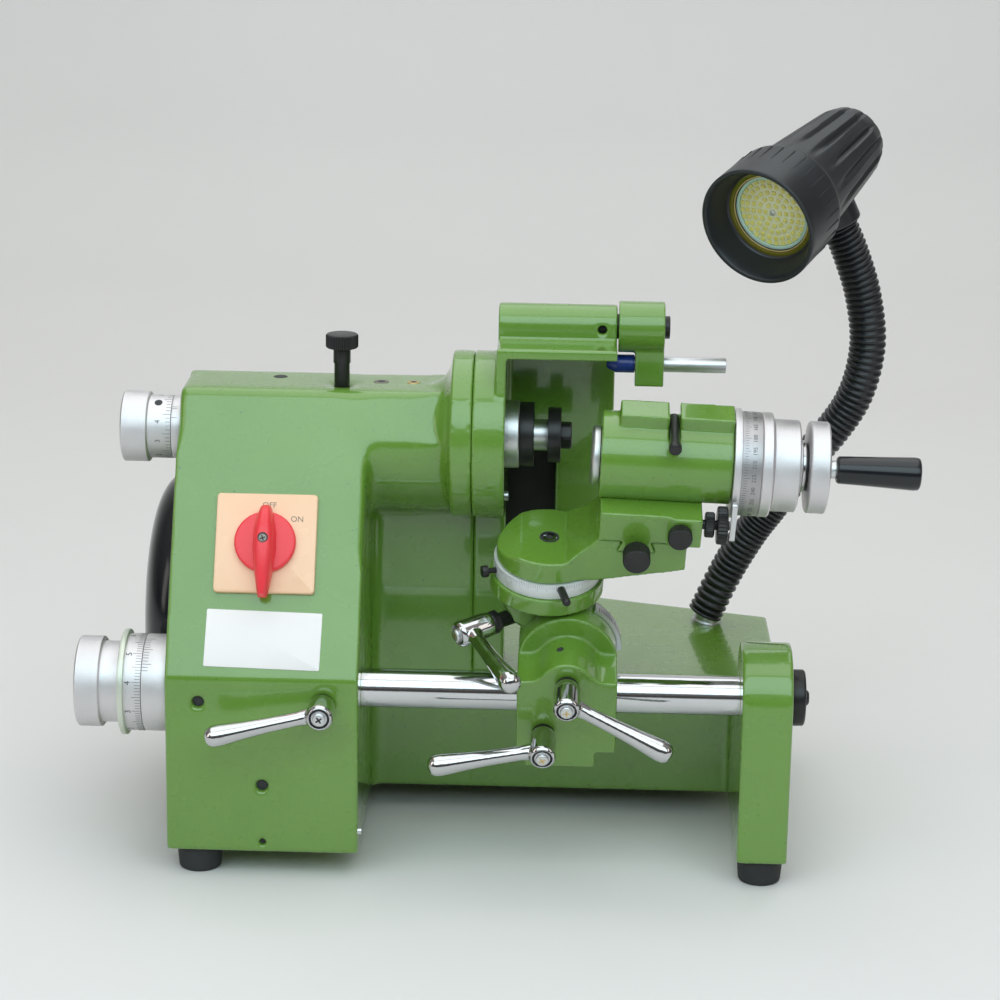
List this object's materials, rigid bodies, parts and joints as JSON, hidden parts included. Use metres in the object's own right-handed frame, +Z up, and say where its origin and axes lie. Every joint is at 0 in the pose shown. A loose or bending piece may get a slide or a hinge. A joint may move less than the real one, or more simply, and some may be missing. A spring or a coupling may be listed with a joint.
{
  "type": "tool and cutter grinder",
  "caption": "Bench tool and cutter grinder: cast body with belt-driven wheel spindle, guide bar, tilting and swivelling workhead with index dial, dresser arm and flexible lamp.",
  "frame": {"origin": "centre of the machine's bounding box, on the floor under its feet", "axes": "+X to the user's right along the guide bar, +Y away from the user, +Z up"},
  "size_m": [0.528, 0.339, 0.471],
  "materials": {
    "green_paint": "glossy hammered green paint",
    "bare_steel": "turned and satin",
    "ground_steel": "ground and hard chromed",
    "chrome": "polished",
    "black_oxide": "black oxide",
    "black_plastic": "satin",
    "black_rubber": "matt",
    "cream_plastic": "glossy",
    "red_plastic": "glossy",
    "blue_paint": "glossy",
    "motor_iron": "painted black",
    "lamp_glass": "frosted"
  },
  "bodies": {
    "frame": {"headstock_casting": "green_paint", "bed_casting": "green_paint", "end_bracket": "green_paint", "rubber_feet": "black_rubber", "rear_cover": "green_paint", "spindle_barrel": "green_paint", "wheel_guard": "green_paint", "guard_back_plate": "black_oxide", "switch_plate": "cream_plastic", "switch_body": "black_plastic", "motor_body": "motor_iron", "motor_end_cover": "black_plastic", "drive_belt": "black_rubber", "spindle_feed_sleeve": "bare_steel", "bar_feed_sleeve": "bare_steel", "dresser_pivot": "black_oxide", "gooseneck": "black_plastic", "gooseneck_gland": "bare_steel"},
    "rotor": {"motor_rotor": "bare_steel", "motor_pulley": "bare_steel"},
    "feed_knob": {"spindle_feed_knob": "bare_steel"},
    "quill": {"quill_sleeve": "bare_steel", "quill_tail": "bare_steel", "spindle_bearings": "bare_steel"},
    "spindle": {"wheel_spindle": "bare_steel", "spindle_pulley": "bare_steel", "wheel_flanges": "black_oxide", "spindle_nut": "black_oxide"},
    "bar_thimble": {"bar_feed_thimble": "bare_steel"},
    "bar_nut": {"bar_feed_nut": "bare_steel"},
    "bar": {"guide_bar": "ground_steel", "bar_end_cap": "black_oxide"},
    "carriage": {"carriage_block": "green_paint"},
    "tilt": {"tilt_bracket": "green_paint", "tilt_scale": "bare_steel", "swivel_scale_ring": "bare_steel", "swivel_bolt": "bare_steel"},
    "arm": {"swivel_arm": "green_paint"},
    "workhead": {"workhead_saddle": "green_paint", "workhead_body": "green_paint", "spindle_lock_pin": "black_oxide"},
    "work_line": {"work_spindle": "bare_steel", "index_dial": "bare_steel", "dial_collar": "bare_steel", "handwheel": "bare_steel"},
    "crank": {"crank_grip": "black_plastic"},
    "bar_lock": {"bar_lock_lever": "chrome"},
    "tilt_lock": {"tilt_lock_lever": "chrome"},
    "carriage_clamp": {"carriage_clamp_lever": "chrome"},
    "swivel_clamp": {"swivel_clamp_lever": "chrome"},
    "switch": {"switch_knob": "red_plastic"},
    "quill_lock": {"quill_lock_screw": "black_oxide"},
    "dresser_arm": {"dresser_link": "green_paint"},
    "dresser_slide": {"dresser_rod": "bare_steel", "dresser_tip": "blue_paint"},
    "lamp": {"lamp_head": "black_plastic", "lamp_bulb": "lamp_glass"},
    "slide_knob": {"slide_clamp_knob": "black_oxide"},
    "plunger": {"index_plunger": "black_oxide"},
    "stop": {"stop_screw": "black_oxide"}
  },
  "joints": [
    {"name": "motor_spin", "type": "hinge", "parent": "frame", "child": "rotor", "pos_m": [-0.204, 0.038, 0.13], "axis": [1, 0, 0], "continuous": true},
    {"name": "feed_knob_turn", "type": "hinge", "parent": "frame", "child": "feed_knob", "pos_m": [-0.234, -0.023, 0.269], "axis": [1, 0, 0], "range_deg": [-1440, 1440]},
    {"name": "quill_slide", "type": "slide", "parent": "frame", "child": "quill", "axis": [1, 0, 0], "range_m": [-0.004, 0.004]},
    {"name": "spindle_spin", "type": "hinge", "parent": "quill", "child": "spindle", "pos_m": [-0.204, -0.023, 0.269], "axis": [1, 0, 0], "continuous": true},
    {"name": "bar_feed_turn", "type": "hinge", "parent": "frame", "child": "bar_thimble", "pos_m": [-0.234, -0.095, 0.118], "axis": [1, 0, 0], "range_deg": [0, 2160]},
    {"name": "bar_feed_slide", "type": "slide", "parent": "frame", "child": "bar_nut", "axis": [1, 0, 0], "range_m": [0, 0.006]},
    {"name": "bar_rock", "type": "hinge", "parent": "bar_nut", "child": "bar", "pos_m": [-0.004, -0.095, 0.118], "axis": [1, 0, 0], "range_deg": [-12, 5]},
    {"name": "carriage_slide", "type": "slide", "parent": "bar", "child": "carriage", "axis": [1, 0, 0], "range_m": [-0.006, 0.06]},
    {"name": "tilt_turn", "type": "hinge", "parent": "carriage", "child": "tilt", "pos_m": [0.049, -0.10143, 0.13904], "axis": [0, 0.9563, 0.2924], "range_deg": [-15, 30]},
    {"name": "swivel_turn", "type": "hinge", "parent": "tilt", "child": "arm", "pos_m": [0.03301, -0.06432, 0.15103], "axis": [0.0384, -0.2922, 0.9556], "range_deg": [-90, 10]},
    {"name": "cross_slide", "type": "slide", "parent": "arm", "child": "workhead", "axis": [0, -0.9563, -0.2924], "range_m": [0, 0.025]},
    {"name": "work_spin", "type": "hinge", "parent": "workhead", "child": "work_line", "pos_m": [0.03772, -0.08534, 0.27281], "axis": [0.9993, 0.0112, -0.0367], "continuous": true},
    {"name": "crank_spin", "type": "hinge", "parent": "work_line", "child": "crank", "pos_m": [0.19639, -0.10361, 0.27125], "axis": [0.9993, 0.0112, -0.0367], "continuous": true},
    {"name": "bar_lock_turn", "type": "hinge", "parent": "frame", "child": "bar_lock", "pos_m": [-0.104, -0.13, 0.118], "axis": [0, -1, 0], "range_deg": [-35, 35]},
    {"name": "tilt_lock_turn", "type": "hinge", "parent": "carriage", "child": "tilt_lock", "pos_m": [0.049, -0.12923, 0.1342], "axis": [0, -0.9563, -0.2924], "range_deg": [-35, 35]},
    {"name": "carriage_clamp_turn", "type": "hinge", "parent": "carriage", "child": "carriage_clamp", "pos_m": [0.0345, -0.11841, 0.09882], "axis": [0, -0.9563, -0.2924], "range_deg": [-22, 30]},
    {"name": "swivel_clamp_turn", "type": "hinge", "parent": "tilt", "child": "swivel_clamp", "pos_m": [0.00137, -0.09242, 0.16254], "axis": [-0.8084, -0.5712, -0.1422], "range_deg": [-15, 30]},
    {"name": "switch_turn", "type": "hinge", "parent": "frame", "child": "switch", "pos_m": [-0.1435, -0.08983, 0.21017], "axis": [0, -0.887, 0.4617], "range_deg": [-60, 0]},
    {"name": "quill_lock_turn", "type": "hinge", "parent": "frame", "child": "quill_lock", "pos_m": [-0.101, -0.023, 0.3], "axis": [0, 0, 1], "range_deg": [-90, 90]},
    {"name": "dresser_swing", "type": "hinge", "parent": "frame", "child": "dresser_arm", "pos_m": [0.086, -0.02, 0.341], "axis": [1, 0, 0], "range_deg": [-25, 25]},
    {"name": "dresser_feed", "type": "slide", "parent": "dresser_arm", "child": "dresser_slide", "axis": [1, 0, 0], "range_m": [-0.025, 0]},
    {"name": "lamp_turn", "type": "hinge", "parent": "frame", "child": "lamp", "pos_m": [0.222, 0.073, 0.398], "axis": [-0.4215, -0.0803, 0.9033], "range_deg": [-40, 40]},
    {"name": "slide_knob_turn", "type": "hinge", "parent": "workhead", "child": "slide_knob", "pos_m": [0.09015, -0.11374, 0.22032], "axis": [0, -0.9563, -0.2924], "range_deg": [-180, 180]},
    {"name": "plunger_pull", "type": "slide", "parent": "workhead", "child": "plunger", "axis": [0, -0.9563, -0.2924], "range_m": [0, 0.006], "stiffness_N_per_m": 400, "springref_m": -0.002},
    {"name": "stop_turn", "type": "hinge", "parent": "workhead", "child": "stop", "pos_m": [0.13019, -0.10998, 0.2354], "axis": [0.9993, 0.0112, -0.0367], "range_deg": [-360, 360]}
  ],
  "couplings": [
    {"joint": "spindle_spin", "follows": "motor_spin", "ratio": 1.8571},
    {"joint": "feed_knob_turn", "follows": "quill_slide", "rad_per_m": 6283.2},
    {"joint": "bar_feed_slide", "follows": "bar_feed_turn", "m_per_rad": 0.00015915}
  ]
}
